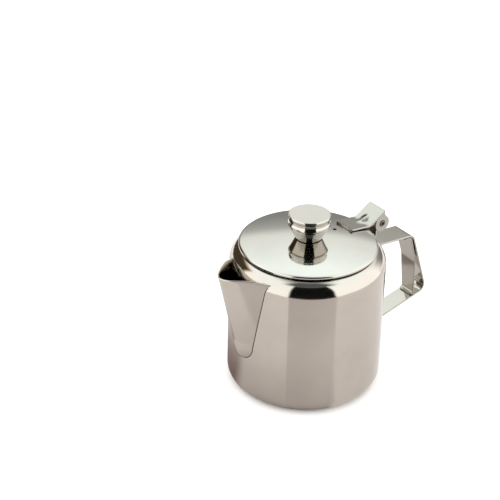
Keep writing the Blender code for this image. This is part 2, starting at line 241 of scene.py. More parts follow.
def filleted(corners, steps=6, support=0.12):
    """A polyline through (x, y, radius) corners with arcs, and short steps beside each arc."""
    points = []
    count = len(corners)
    for i, (x, y, radius) in enumerate(corners):
        here = Vector((x, y))
        if radius <= 0.0 or i in (0, count - 1):
            points.append(here)
            continue
        back = Vector(corners[i - 1][:2]) - here
        ahead = Vector(corners[i + 1][:2]) - here
        back.normalize()
        ahead.normalize()
        half = back.angle(ahead) / 2.0
        if half > math.radians(89.0):
            points.append(here)
            continue
        centre = here + (back + ahead).normalized() * (radius / math.sin(half))
        start = here + back * (radius / math.tan(half))
        end = here + ahead * (radius / math.tan(half))
        turn = (start - centre).angle_signed(end - centre)
        points.append(start + back * support)
        for k in range(steps + 1):
            points.append(centre + Matrix.Rotation(-turn * k / steps, 2) @ (start - centre))
        points.append(end + ahead * support)
    return [(p[0], p[1]) for p in points]


def divided(points, longest):
    """The same polyline with no step longer than the given length."""
    result = [points[0]]
    for before, after in zip(points, points[1:]):
        length = math.dist(before, after)
        pieces = max(1, math.ceil(length / longest))
        for i in range(1, pieces + 1):
            share = i / pieces
            result.append(tuple(a + (b - a) * share for a, b in zip(before, after)))
    return result


def ring(bm, radius, height, count):
    """A level ring of vertices about Z."""
    return [bm.verts.new((radius * math.cos(2.0 * math.pi * k / count),
                          radius * math.sin(2.0 * math.pi * k / count), height))
            for k in range(count)]


def turned(profile, segments):
    """A solid of revolution about Z from a closed outline of (radius, height)."""
    bm = bmesh.new()
    rings = []
    for radius, height in profile:
        if radius < 1e-6:
            rings.append([bm.verts.new((0.0, 0.0, height))])
            continue
        rings.append(ring(bm, radius, height, segments))
    for before, after in zip(rings, rings[1:] + rings[:1]):
        for k in range(segments):
            m = (k + 1) % segments
            corners = [before[k % len(before)], before[m % len(before)],
                       after[m % len(after)], after[k % len(after)]]
            face = [v for i, v in enumerate(corners) if v not in corners[:i]]
            if len(face) > 2:
                bm.faces.new(face)
    return bm


def bridge(bm, rows, closed=True):
    """Quads between neighbouring rows of vertices."""
    for row, after in zip(rows, rows[1:]):
        count = len(row) if closed else len(row) - 1
        for k in range(count):
            m = (k + 1) % len(row)
            bm.faces.new((row[k], row[m], after[m], after[k]))


def tube(bm, rows):
    """Closed rows of vertices bridged, with the first and the last of them filled."""
    bridge(bm, rows)
    bm.faces.new(rows[0])
    bm.faces.new(list(reversed(rows[-1])))


def strap_section(half, thickness, across):
    """Closed outline of a strap's cross-section as (across, up) with rounded edges."""
    corner = 0.38
    inner = half - corner
    flat = [inner * (-1.0 + 2.0 * i / across) for i in range(across + 1)]
    flat = [flat[0], flat[0] + 0.15] + flat[1:-1] + [flat[-1] - 0.15, flat[-1]]
    up = thickness / 2.0
    rise = up - corner
    turns = [math.pi / 8 * k for k in range(5)]
    outline = [(x, up) for x in flat]
    outline += [(inner + corner * math.sin(a), rise + corner * math.cos(a)) for a in turns[1:]]
    outline += [(inner + corner * math.cos(a), -rise - corner * math.sin(a)) for a in turns[:-1]]
    return outline + [(-x, -z) for x, z in outline]


def strap(path, thickness, width_at, across, end_radius, shape=None):
    """A strap along a path in the XZ plane. width_at(point) gives its full width.

    across is the number of steps over its width, end_radius rounds the corners at each
    end, and shape(x, y, z) may move a point.
    """
    points = [Vector(p) for p in path]
    lengths = lengths_along(points)
    total = lengths[-1]
    bm = bmesh.new()
    rows = []
    for i, point in enumerate(points):
        before = points[max(i - 1, 0)]
        after = points[min(i + 1, len(points) - 1)]
        along = (after - before).normalized()
        into = (point - before).normalized() if i > 0 else along
        miter = 1.0 / max(along.dot(into), 0.7)
        normal = Vector((-along.y, along.x)) * miter
        half = width_at(point) / 2.0
        for distance, radius in ((lengths[i], end_radius[0]), (total - lengths[i], end_radius[1])):
            if distance < radius:
                half -= radius - math.sqrt(radius * radius - (radius - distance) ** 2)
        row = []
        for side, up in strap_section(half, thickness, across):
            place = point + normal * up
            x, y, z = place.x, side, place.y
            if shape:
                x, y, z = shape(x, y, z)
            row.append(bm.verts.new((x, y, z)))
        rows.append(row)
    tube(bm, rows)
    return bm


def end_steps(path, radius, steps=6):
    """Add points near both ends of a path, close enough to draw a rounded end."""
    points = [Vector(p) for p in path]
    first = (points[1] - points[0]).normalized()
    last = (points[-2] - points[-1]).normalized()
    offsets = [radius * (1.0 - math.cos(math.pi / 2.0 * k / steps)) for k in range(1, steps + 1)]
    start = [points[0]] + [points[0] + first * d for d in offsets]
    end = [points[-1] + last * d for d in reversed(offsets)] + [points[-1]]
    return start + points[1:-1] + end


def rod(centre, direction, radius, length, segments):
    bm = bmesh.new()
    turn = Vector((0.0, 0.0, 1.0)).rotation_difference(Vector(direction)).to_matrix()
    bmesh.ops.create_cone(bm, cap_ends=True, segments=segments, radius1=radius,
                          radius2=radius, depth=length,
                          matrix=Matrix.Translation(centre) @ turn.to_4x4())
    return bm


# ------------------------------------------------------------------ shader helpers

ROUND_STRETCH = 0.012    # metres of noise for each radian round the axis
LONG_STRETCH = 0.06      # metres of noise for each metre along other polishing marks
FINE_MARKS = 2600.0      # noise scales, per metre
LONG_MARKS = 520.0
SMUDGES = 38.0
SPOTS = 120.0
SCRATCHES = 70.0
MARK_DEPTH = 0.00004     # metres
WELD_ROUGHNESS = 0.42
DULLED = (0.93, 0.92, 0.91)    # what handling leaves of a colour


class Nodes:
    """Short ways to add nodes to a node tree."""

    def __init__(self, tree):
        self.tree = tree

    def add(self, kind, **settings):
        node = self.tree.nodes.new(kind)
        for key, value in settings.items():
            setattr(node, key, value)
        return node

    def put(self, socket, value):
        if isinstance(value, bpy.types.NodeSocket):
            self.tree.links.new(value, socket)
        else:
            socket.default_value = value

    def math(self, operation, *values):
        node = self.add('ShaderNodeMath', operation=operation)
        for socket, value in zip(node.inputs, values):
            self.put(socket, value)
        return node.outputs[0]

    def length(self, x, y):
        squares = (self.math('MULTIPLY', x, x), self.math('MULTIPLY', y, y))
        return self.math('SQRT', self.math('ADD', *squares))

    def split(self, vector):
        node = self.add('ShaderNodeSeparateXYZ')
        self.put(node.inputs[0], vector)
        return node.outputs

    def rise(self, value, low, high, bottom=0.0, top=1.0):
        """A smooth step of value between low and high."""
        node = self.add('ShaderNodeMapRange', interpolation_type='SMOOTHSTEP')
        self.put(node.inputs['Value'], value)
        ends = {'From Min': low, 'From Max': high, 'To Min': bottom, 'To Max': top}
        for name, number in ends.items():
            node.inputs[name].default_value = number
        return node.outputs['Result']

    def window(self, value, low, high, soft):
        """1 between low and high, 0 outside, with soft edges."""
        start = self.rise(value, low - soft / 2.0, low + soft / 2.0)
        stop = self.rise(value, high - soft / 2.0, high + soft / 2.0, 1.0, 0.0)
        return self.math('MULTIPLY', start, stop)

    def mix(self, factor, a, b):
        node = self.add('ShaderNodeMix', data_type='RGBA')
        self.put(node.inputs[0], factor)
        self.put(node.inputs[6], a)
        self.put(node.inputs[7], b)
        return node.outputs[2]

    def blend(self, factor, a, b):
        node = self.add('ShaderNodeMix', data_type='FLOAT')
        self.put(node.inputs[0], factor)
        self.put(node.inputs[2], a)
        self.put(node.inputs[3], b)
        return node.outputs[0]

    def noise(self, vector, scale, detail=2.0, roughness=0.5):
        node = self.add('ShaderNodeTexNoise')
        self.put(node.inputs['Vector'], vector)
        node.inputs['Scale'].default_value = scale
        node.inputs['Detail'].default_value = detail
        node.inputs['Roughness'].default_value = roughness
        return node.outputs[0]

    def emission(self, colour, strength):
        node = self.add('ShaderNodeEmission')
        self.put(node.inputs['Color'], colour)
        self.put(node.inputs['Strength'], strength)
        return node.outputs[0]

    def mix_shaders(self, factor, a, b):
        node = self.add('ShaderNodeMixShader')
        self.put(node.inputs[0], factor)
        self.put(node.inputs[1], a)
        self.put(node.inputs[2], b)
        return node.outputs[0]


def steel(name, colour, roughness, grain, anisotropy=0.0, turn=0.0, haze=0.03, relief=0.04,
          weld=False):
    """Polished stainless steel.

    grain is 'round' for polishing marks that run round the Z axis, 'upright' for marks that
    run up and down, 'cross' for marks across a strap, or 'fine' for marks in no direction.
    weld darkens the points that carry the mark of a weld bead.
    """
    material = bpy.data.materials.new(name)
    material.use_nodes = True
    tree = material.node_tree
    n = Nodes(tree)
    shader = tree.nodes["Principled BSDF"]
    shader.inputs['Metallic'].default_value = 1.0
    place = n.add('ShaderNodeTexCoord').outputs['Object']
    x, y, z = n.split(place)

    # Marks: noise drawn out along the direction of polishing
    if grain == 'round':
        angle = n.math('ARCTAN2', y, x)
        drawn_out = (n.math('MULTIPLY', angle, ROUND_STRETCH), n.length(x, y), z)
    elif grain == 'upright':
        drawn_out = (x, y, n.math('MULTIPLY', z, LONG_STRETCH))
    elif grain == 'cross':
        drawn_out = (x, n.math('MULTIPLY', y, LONG_STRETCH), z)
    else:
        drawn_out = (x, y, z)
    stretch = n.add('ShaderNodeCombineXYZ')
    for socket, value in zip(stretch.inputs, drawn_out):
        n.put(socket, value)
    marks = n.noise(stretch.outputs[0], FINE_MARKS, 3.0, 0.6)
    long_marks = n.noise(stretch.outputs[0], LONG_MARKS)

    # Handling: broad smudges, and a few small dull spots from dried drops
    smudge = n.rise(n.noise(place, SMUDGES, 3.0, 0.55), 0.42, 0.72)
    spots = n.add('ShaderNodeTexVoronoi')
    n.put(spots.inputs['Vector'], place)
    spots.inputs['Scale'].default_value = SPOTS
    spot = n.rise(spots.outputs['Distance'], 0.05, 0.11, 1.0, 0.0)
    sparse = n.rise(n.noise(place, 61.0, 1.0), 0.56, 0.62)
    spot = n.math('MULTIPLY', spot, sparse)

    # Scratches from stacking and washing: the edges of stretched cells, here and there
    scratch_cells = n.add('ShaderNodeTexVoronoi', feature='DISTANCE_TO_EDGE')
    warp = n.add('ShaderNodeMapping')
    n.put(warp.inputs['Vector'], place)
    warp.inputs['Rotation'].default_value = (0.4, 0.9, 0.3)
    warp.inputs['Scale'].default_value = (1.0, 0.22, 1.0)
    n.put(scratch_cells.inputs['Vector'], warp.outputs[0])
    scratch_cells.inputs['Scale'].default_value = SCRATCHES
    scratch = n.rise(scratch_cells.outputs['Distance'], 0.0, 0.012, 1.0, 0.0)
    patchy = n.rise(n.noise(place, 45.0, 2.0), 0.56, 0.66)
    scratch = n.math('MULTIPLY', scratch, patchy)

    rough = roughness
    for pattern, share in ((smudge, 1.0), (n.math('SUBTRACT', marks, 0.5), 0.8), (spot, 1.5),
                           (scratch, 1.6)):
        rough = n.math('ADD', rough, n.math('MULTIPLY', pattern, haze * share))
    if weld:
        mark = n.add('ShaderNodeAttribute', attribute_name="weld").outputs['Fac']
        rough = n.blend(mark, rough, WELD_ROUGHNESS)
    n.put(shader.inputs['Roughness'], rough)

    dull = tuple(c * f for c, f in zip(colour, DULLED)) + (1.0,)
    light = tuple(min(c * 1.03, 1.0) for c in colour) + (1.0,)
    tone = n.mix(long_marks, light, (*colour, 1.0))
    tone = n.mix(n.math('MULTIPLY', smudge, 0.5), tone, dull)
    tone = n.mix(n.math('MULTIPLY', spot, 0.35), tone, dull)
    if weld:
        tone = n.mix(mark, tone, WELD_COLOUR)
    n.put(shader.inputs['Base Color'], tone)

    height = n.math('ADD', n.math('MULTIPLY', marks, 0.4), n.math('MULTIPLY', scratch, -0.6))
    bump = n.add('ShaderNodeBump')
    bump.inputs['Strength'].default_value = relief
    bump.inputs['Distance'].default_value = MARK_DEPTH
    n.put(bump.inputs['Height'], height)
    n.put(shader.inputs['Normal'], bump.outputs[0])

    if anisotropy:
        shader.inputs['Anisotropic'].default_value = anisotropy
        shader.inputs['Anisotropic Rotation'].default_value = turn
        tangent = n.add('ShaderNodeTangent', direction_type='RADIAL', axis='Z')
        n.put(shader.inputs['Tangent'], tangent.outputs[0])
    return material


# ------------------------------------------------------------------ materials

STEEL = (0.468, 0.422, 0.378)
BRIGHT_STEEL = (0.485, 0.460, 0.420)
# Painted shade: the handle's strap is the steel darkened to stand in for the dim light on its
# faces
HANDLE_COLOUR_WITH_PAINTED_SHADE = (0.400, 0.368, 0.326)
# Painted shade: the inner strap is darker still, standing in for the deeper shade it sits in
GRIP_COLOUR_WITH_PAINTED_SHADE = (0.345, 0.318, 0.280)
# Painted shade: the hinge strap and ears are the steel darkened to stand in for the light they get
HINGE_COLOUR_WITH_PAINTED_SHADE = (0.385, 0.362, 0.325)
KNOB_BASE_COLOUR = (0.42, 0.385, 0.345)
PIN_COLOUR = (0.20, 0.18, 0.16)
PLAIN = (0.42, 0.39, 0.36)
WELD_COLOUR = (0.10, 0.085, 0.07, 1.0)

body_steel = steel("body_polish", STEEL, 0.085, 'round', anisotropy=1.0,
                   turn=0.25, haze=0.012, relief=0.0)
spout_steel = steel("spout_polish", STEEL, 0.13, 'upright', haze=0.03, weld=True)
# The handle's material carries the painted shade of its colour
handle_steel_with_painted_shade = steel("handle_polish_with_painted_shade", HANDLE_COLOUR_WITH_PAINTED_SHADE, 0.10, 'cross', haze=0.04)
# The inner strap's material carries the painted shade of its colour
grip_steel_with_painted_shade = steel("grip_polish_with_painted_shade", GRIP_COLOUR_WITH_PAINTED_SHADE, 0.12, 'cross', haze=0.04)
lid_steel = steel("lid_polish", BRIGHT_STEEL, 0.07, 'round', haze=0.03, relief=0.03)
# The hinge's material carries the painted shade of its colour
hinge_steel_with_painted_shade = steel("hinge_polish_with_painted_shade", HINGE_COLOUR_WITH_PAINTED_SHADE, 0.12, 'cross', haze=0.05)
bracket_steel = steel("bracket_finish", PLAIN, 0.22, 'cross', haze=0.06)
pin_steel = steel("pin_finish", PIN_COLOUR, 0.26, 'fine', haze=0.06)
cap_steel = steel("knob_cap_polish", BRIGHT_STEEL, 0.06, 'round', haze=0.02, relief=0.0)
base_steel = steel("knob_base_polish", KNOB_BASE_COLOUR, 0.07, 'round', haze=0.02, relief=0.0)
fastener_steel = steel("fastener_finish", PLAIN, 0.30, 'fine', haze=0.08)


# ------------------------------------------------------------------ body

def shoulder_radius_at(height, grow=0.0):
    """Outer radius of the body at a height."""
    if height <= SHOULDER_START:
        return BODY_RADIUS + grow
    reach = SHOULDER_RADIUS + grow
    rise = min(height - SHOULDER_START, reach)
    return BODY_RADIUS - SHOULDER_RADIUS + math.sqrt(max(reach * reach - rise * rise, 0.0))


def body_profile():
    corner = (BODY_RADIUS - BASE_CORNER, BASE_CORNER)
    shoulder = (BODY_RADIUS - SHOULDER_RADIUS, SHOULDER_START)
    last = math.degrees(math.acos((NECK_RADIUS - shoulder[0]) / SHOULDER_RADIUS)) - 2.5
    recess = 0.7
    outer = [(0.0, recess)]
    underside = [(0.0, recess, 0), (37.0, recess, 1.5), (39.0, 0.0, 1.5), (44.0, 0.0, 0)]
    outer += filleted(underside, 5)[1:-1]
    outer = divided(outer, 6.0)
    outer += arc(corner, BASE_CORNER, -90.0, 0.0, 18)
    outer += divided([(BODY_RADIUS, BASE_CORNER + 0.3), (BODY_RADIUS, SHOULDER_START - 0.3)], 7.5)
    outer += arc(shoulder, SHOULDER_RADIUS, 0.0, last, 26)
    seat = shoulder[1] + SHOULDER_RADIUS * math.sin(math.radians(last))
    outer += [(NECK_RADIUS + 0.13, seat + 0.14), (NECK_RADIUS, seat + 0.4)]
    lip = arc((NECK_RADIUS - WALL / 2.0, NECK_TOP - WALL / 2.0), WALL / 2.0, 0.0, 180.0, 8)
    inner_last = math.degrees(math.acos((NECK_RADIUS - WALL - shoulder[0])
                                        / (SHOULDER_RADIUS - WALL)))
    inner = arc(shoulder, SHOULDER_RADIUS - WALL, inner_last, 0.0, 16)
    inner += divided([(BODY_RADIUS - WALL, SHOULDER_START - 0.3),
                      (BODY_RADIUS - WALL, BASE_CORNER + 0.3)], 7.5)
    inner += arc(corner, BASE_CORNER - WALL, 0.0, -90.0, 12)
    floor = filleted([(44.0, WALL, 0), (39.0, WALL, 1.5), (37.0, WALL + recess, 1.5),
                      (0.0, WALL + recess, 0)], 5)
    inner += divided(floor[:-1], 6.0)
    inner += [(0.0, WALL + recess)]
    return outer + lip + inner


def build_body():
    shell = turned(body_profile(), 192)
    holes = bmesh.new()
    for row, count in enumerate(HOLES_PER_ROW):
        for i in range(count):
            turn = math.pi + (i - (count - 1) / 2.0) * HOLE_PITCH / BODY_RADIUS
            outward = Vector((math.cos(turn), math.sin(turn), 0.0))
            centre = outward * (BODY_RADIUS - WALL / 2.0)
            centre.z = HOLE_LOWEST_ROW + row * HOLE_ROW_STEP
            join_meshes(holes, rod(centre, outward, HOLE_RADIUS, 6.0, 28))
    shell = cut(shell, holes)
    make_piece("pot_body", shell, body_steel, "pot", ["body_shell"], 40.0)


# ------------------------------------------------------------------ spout

def spout_ridge(height):
    if height >= SPOUT_BEND_TOP:
        return SPOUT_RIDGE_AT_BEND + SPOUT_RIDGE_SLOPE * (height - SPOUT_BEND_TOP)
    drop = (SPOUT_BEND_TOP - height) / (SPOUT_BEND_TOP - SPOUT_BOTTOM)
    rise = math.sqrt(max(1.0 - drop * drop, 0.0))
    return BODY_RADIUS + (SPOUT_RIDGE_AT_BEND - BODY_RADIUS) * rise


def spout_half_width(height):
    if height >= SPOUT_SIDE_TOP:
        return SPOUT_SIDE_AT_BEND + SPOUT_SIDE_SLOPE * (height - SPOUT_SIDE_TOP)
    drop = (SPOUT_SIDE_TOP - height) / (SPOUT_SIDE_TOP - SPOUT_BOTTOM)
    return max(SPOUT_SIDE_AT_BEND * math.sqrt(max(1.0 - drop * drop, 0.0)), 1.0)


SPOUT_COLUMNS = 28       # steps from the ridge to each seam
SPOUT_SINK = 0.45        # how far the side edges run into the wall
SPOUT_TOE_START = 0.12   # the lowest row, as an angle round the toe's curve
BEAD_RADIUS = 0.34
BEAD_LIFT = 0.02         # how far the middle of the weld bead stands off the wall


def spout_section(height, sink=SPOUT_SINK):
    """One side of the outer level section, from the ridge to inside the wall."""
    ridge = spout_ridge(height)
    half = spout_half_width(height)
    wall_x = BODY_RADIUS * math.cos(half / BODY_RADIUS)
    wall_y = BODY_RADIUS * math.sin(half / BODY_RADIUS)
    share = share_of(height, SPOUT_BEND_TOP, SPOUT_TIP_Z)
    share = eased(share) * 0.4 + share * 0.6
    blunt = SPOUT_BLUNT_BOTTOM + (SPOUT_BLUNT_TOP - SPOUT_BLUNT_BOTTOM) * share
    reach = math.hypot(1.0, blunt) - blunt
    dense = []
    for i in range(61):
        across = (i / 60.0) ** 1.25
        back = (math.hypot(across, blunt) - blunt) / reach
        dense.append(Vector((ridge - (ridge - wall_x) * back, wall_y * across)))
    along = (dense[-1] - dense[-2]).normalized()
    inward = -dense[-1].normalized()
    if along.dot(inward) < 0.35:
        along = (along + inward).normalized()
    stop = shoulder_radius_at(height) - sink
    step = 0.05
    tip = dense[-1].copy()
    for _ in range(400):
        if tip.length <= stop:
            break
        tip += along * step
    dense.append(tip)
    return dense


def resampled(points, count):
    """Points spread along a polyline, closer together near its start."""
    lengths = lengths_along(points)
    total = lengths[-1]
    result = []
    k = 0
    for i in range(count + 1):
        share = i / count
        target = total * (0.55 * share + 0.45 * share * share)
        while k < len(points) - 2 and lengths[k + 1] < target:
            k += 1
        span = max(lengths[k + 1] - lengths[k], 1e-9)
        result.append(points[k].lerp(points[k + 1], min((target - lengths[k]) / span, 1.0)))
    return result


def lip_height(distance):
    for (x0, z0), (x1, z1) in zip(SPOUT_LIP_LINE, SPOUT_LIP_LINE[1:]):
        if distance <= x1:
            return z0 + (z1 - z0) * max(distance - x0, 0.0) / (x1 - x0)
    return SPOUT_LIP_LINE[-1][1]


def smooth_lip_height(distance):
    """The lip line with its corners rounded off."""
    spread = 2.4
    places = [lip_height(distance + spread * k / 4.0) for k in range(-4, 5)]
    return sum(places) / len(places)


def weld_bead(heights):
    """The thin weld that runs down one seam, round the toe and up the other."""
    side = []
    for height in heights:
        spot = spout_section(height, -BEAD_LIFT)[-1]
        side.append(Vector((-spot.x, spot.y, height)))
    line = list(reversed(side)) + [Vector((p.x, -p.y, p.z)) for p in side]
    bm = bmesh.new()
    mark = bm.verts.layers.float.new("weld")
    loops = []
    for i, point in enumerate(line):
        along = (line[min(i + 1, len(line) - 1)] - line[max(i - 1, 0)]).normalized()
        outward = Vector((point.x, point.y, 0.0)).normalized()
        outward = (outward - along * along.dot(outward)).normalized()
        across = along.cross(outward)
        loop = []
        for k in range(8):
            turn = 2.0 * math.pi * k / 8
            vertex = bm.verts.new(point + (outward * math.cos(turn) + across * math.sin(turn))
                                  * BEAD_RADIUS)
            vertex[mark] = 1.0
            loop.append(vertex)
        loops.append(loop)
    tube(bm, loops)
    return bm


def build_spout():
    sections = {}

    def place(height, column):
        level = round(height, 2)
        if level not in sections:
            sections[level] = resampled(spout_section(level), SPOUT_COLUMNS)
        return sections[level][column]

    low_rows = 16
    high_rows = 30
    tops = []
    for column in range(SPOUT_COLUMNS + 1):
        height = SPOUT_TIP_Z
        for _ in range(8):
            height = smooth_lip_height(place(height, column).x)
        tops.append(height)
    grid = []
    for i in range(low_rows + high_rows + 1):
        row = []
        for column in range(SPOUT_COLUMNS + 1):
            if i <= low_rows:
                turn = SPOUT_TOE_START + (math.pi / 2.0 - SPOUT_TOE_START) * i / low_rows
                height = SPOUT_BEND_TOP - (SPOUT_BEND_TOP - SPOUT_BOTTOM) * math.cos(turn)
            else:
                share = (i - low_rows) / high_rows
                height = SPOUT_BEND_TOP + (tops[column] - SPOUT_BEND_TOP) * share
            spot = place(height, column)
            row.append(Vector((-spot.x, spot.y, height)))
        mirrored = [Vector((p.x, -p.y, p.z)) for p in reversed(row[1:])]
        grid.append(mirrored + row)
    count = len(grid[0])
    normals = []
    for i in range(len(grid)):
        line = []
        for k in range(count):
            up = grid[min(i + 1, len(grid) - 1)][k] - grid[max(i - 1, 0)][k]
            side = grid[i][min(k + 1, count - 1)] - grid[i][max(k - 1, 0)]
            line.append(up.cross(side).normalized())
        normals.append(line)
    bm = bmesh.new()
    outer = [[bm.verts.new(p) for p in row] for row in grid]
    inner = [[bm.verts.new(p - normal * SPOUT_THICKNESS) for p, normal in zip(row, line)]
             for row, line in zip(grid, normals)]
    bridge(bm, outer, closed=False)
    bridge(bm, inner, closed=False)
    rim = []
    half = SPOUT_THICKNESS / 2.0
    for turn in (30.0, 60.0, 90.0, 120.0, 150.0):
        angle = math.radians(turn)
        line = []
        for k, p in enumerate(grid[-1]):
            normal = normals[-1][k]
            up = (grid[-1][k] - grid[-2][k]).normalized()
            centre = p - normal * half
            line.append(bm.verts.new(centre + normal * (half * math.cos(angle))
                                     + up * (half * 0.8 * math.sin(angle))))
        rim.append(line)
    bridge(bm, [outer[-1]] + rim + [inner[-1]], closed=False)
    bridge(bm, [outer[0], inner[0]], closed=False)
    for k in (0, count - 1):
        for i in range(len(grid) - 1):
            bm.faces.new((outer[i][k], outer[i + 1][k], inner[i + 1][k], inner[i][k]))
        ends = [outer[-1][k]] + [line[k] for line in rim] + [inner[-1][k]]
        bm.faces.new(ends)
    join_meshes(bm, weld_bead([row[0].z for row in grid if row[0].z < tops[-1] - 0.3]))
    make_piece("pot_spout", bm, spout_steel, "pot", ["spout_shell"])


# ------------------------------------------------------------------ handle

def tapered(point):
    top = 84.0
    bottom = 42.0
    share = share_of(point.y, top, bottom)
    narrow = (HANDLE_WIDTH_TOP - HANDLE_WIDTH_BOTTOM) * share
    upper_foot = point.x < BODY_RADIUS + 6.0 and point.y > 60.0
    return HANDLE_WIDTH_TOP if upper_foot else HANDLE_WIDTH_TOP - narrow


def bent_round(x, y, z, share):
    """A point moved by a share of the way that the wall curves back at that y."""
    return x - share * (BODY_RADIUS - math.sqrt(BODY_RADIUS ** 2 - y * y)), y, z


def follow_wall(x, y, z):
    """Bend the strap's feet round the wall they are welded to."""
    return bent_round(x, y, z, eased(share_of(x, BODY_RADIUS + 9.0, BODY_RADIUS + 3.5)))


def build_handle():
    upper_foot_x = BODY_RADIUS + GAP * 2 + BRACKET_SHEET + STRAP / 2.0 + 0.1
    lower_foot_x = BODY_RADIUS + GAP + STRAP / 2.0
    corners = [(upper_foot_x, 79.5, 0), (upper_foot_x, 91.3, 2.6), (*HANDLE_UPPER_CORNER, 5.2),
               (*HANDLE_LOWER_CORNER, 5.8), (lower_foot_x, 24.0, 2.6), (lower_foot_x, 12.4, 0)]
    end = 2.4
    path = end_steps(divided(filleted(corners, 12), 2.5), end)
    bm = strap(path, STRAP, tapered, 12, (end, end), follow_wall)
    make_piece("handle_outer", bm, handle_steel_with_painted_shade, "pot", ["handle_outer_strap"])

    end = 1.2
    path = end_steps(divided(filleted(INNER_STRAP_CORNERS, 12), 2.5), end)
    bm = strap(path, INNER_STRAP, lambda p: tapered(p) - INNER_STRAP_NARROWER, 10, (end, end))
    make_piece("handle_inner", bm, grip_steel_with_painted_shade, "pot", ["handle_inner_strap"])


# ------------------------------------------------------------------ lid

def lid_height(radius):
    return LID_CROWN_Z - (LID_CROWN_Z - LID_RIM_Z) * (radius / LID_RADIUS) ** 2


def open_hole(bm, rings, columns, centre, radius, height_at, first, last, half_span):
    """Cut a round hole in a polar grid and grade the faces round it. Returns the rim."""
    patch = set()
    for i in range(first, last):
        for k in range(-half_span, half_span):
            a = rings[i][k % columns]
            b = rings[i + 1][(k + 1) % columns]
            patch |= {f for f in a.link_faces if b in f.verts}
    bmesh.ops.delete(bm, geom=list(patch), context='FACES')
    loop = [rings[first][k % columns] for k in range(-half_span, half_span + 1)]
    loop += [rings[i][half_span % columns] for i in range(first + 1, last)]
    loop += [rings[last][k % columns] for k in range(half_span, -half_span - 1, -1)]
    loop += [rings[i][-half_span % columns] for i in range(last - 1, first, -1)]
    for i in range(first + 1, last):
        for k in range(-half_span + 1, half_span):
            stray = rings[i][k % columns]
            if stray.is_valid and not stray.link_faces:
                bm.verts.remove(stray)
    rows = 5
    previous = loop
    for row in range(1, rows + 1):
        share = 1.0 - (1.0 - row / rows) ** 2
        line = []
        for vertex in loop:
            away = Vector((vertex.co.x - centre[0], vertex.co.y - centre[1]))
            target = away.normalized() * radius
            spot = Vector((centre[0], centre[1])) + away.lerp(target, share)
            line.append(bm.verts.new((spot.x, spot.y, height_at(spot.length))))
        bridge(bm, [previous, line])
        previous = line
    return previous


def build_lid():
    columns = 160
    radii = [LID_HOLE_RADIUS, 2.9, 4.0, 6.0, 8.0, 10.5, 13.0, 15.5, 18.0, VENT_NEAR, 22.0, 24.0,
             VENT_FAR, 28.5, 31.0, 33.5, 36.0, 38.5, 41.0, 43.5, 45.8, 46.9, 47.5]
    corner = (LID_RADIUS - LID_CORNER, LID_RIM_Z - LID_CORNER)
    edge = arc(corner, LID_CORNER, 80.0, 0.0, 10)
    hem = LID_SHEET / 2.0
    middle = LID_RADIUS - hem
    edge += [(LID_RADIUS, LID_RIM_Z - LID_CORNER - 0.15), (LID_RADIUS, LID_SKIRT_Z + hem + 0.1)]
    edge += arc((middle, LID_SKIRT_Z + hem), hem, 0.0, -180.0, 8)
    inside = LID_RADIUS - LID_SHEET
    edge += [(inside, LID_SKIRT_Z + hem + 0.1), (inside, LID_RIM_Z - 1.9)]
    edge += arc((inside - 0.5, LID_RIM_Z - 1.75), 0.5, 0.0, 82.0, 5)
    bm = bmesh.new()
    top = [ring(bm, r, lid_height(r), columns) for r in radii]
    side = [ring(bm, r, z, columns) for r, z in edge]
    under_radii = [r for r in reversed(radii) if r < inside - 0.9]
    under = [ring(bm, r, lid_height(r) - LID_SHEET, columns) for r in under_radii]
    bridge(bm, top + side + under + top[:1])
    first = radii.index(VENT_NEAR)
    last = radii.index(VENT_FAR)
    upper_rim = open_hole(bm, top, columns, (VENT_X, 0.0), VENT_RADIUS, lid_height, first, last, 4)
    first = under_radii.index(VENT_FAR)
    last = under_radii.index(VENT_NEAR)
    lower_rim = open_hole(bm, under, columns, (VENT_X, 0.0), VENT_RADIUS,
                          lambda r: lid_height(r) - LID_SHEET, first, last, 4)

    def turn_of(vertex):
        return math.atan2(vertex.co.y, vertex.co.x - VENT_X)

    match = []
    for vertex in upper_rim:
        turn = turn_of(vertex)
        match.append(min(lower_rim,
                         key=lambda v: abs(math.remainder(turn_of(v) - turn, 2.0 * math.pi))))
    bridge(bm, [upper_rim, match])
    make_piece("pot_lid", bm, lid_steel, "lid", ["lid_disc"], 45.0)


# ------------------------------------------------------------------ hinge

def flat_plate(outline, y_low, y_high):
    bm = bmesh.new()
    low = [bm.verts.new((x, y_low, z)) for x, z in outline]
    high = [bm.verts.new((x, y_high, z)) for x, z in outline]
    tube(bm, [low, high])
    return bm


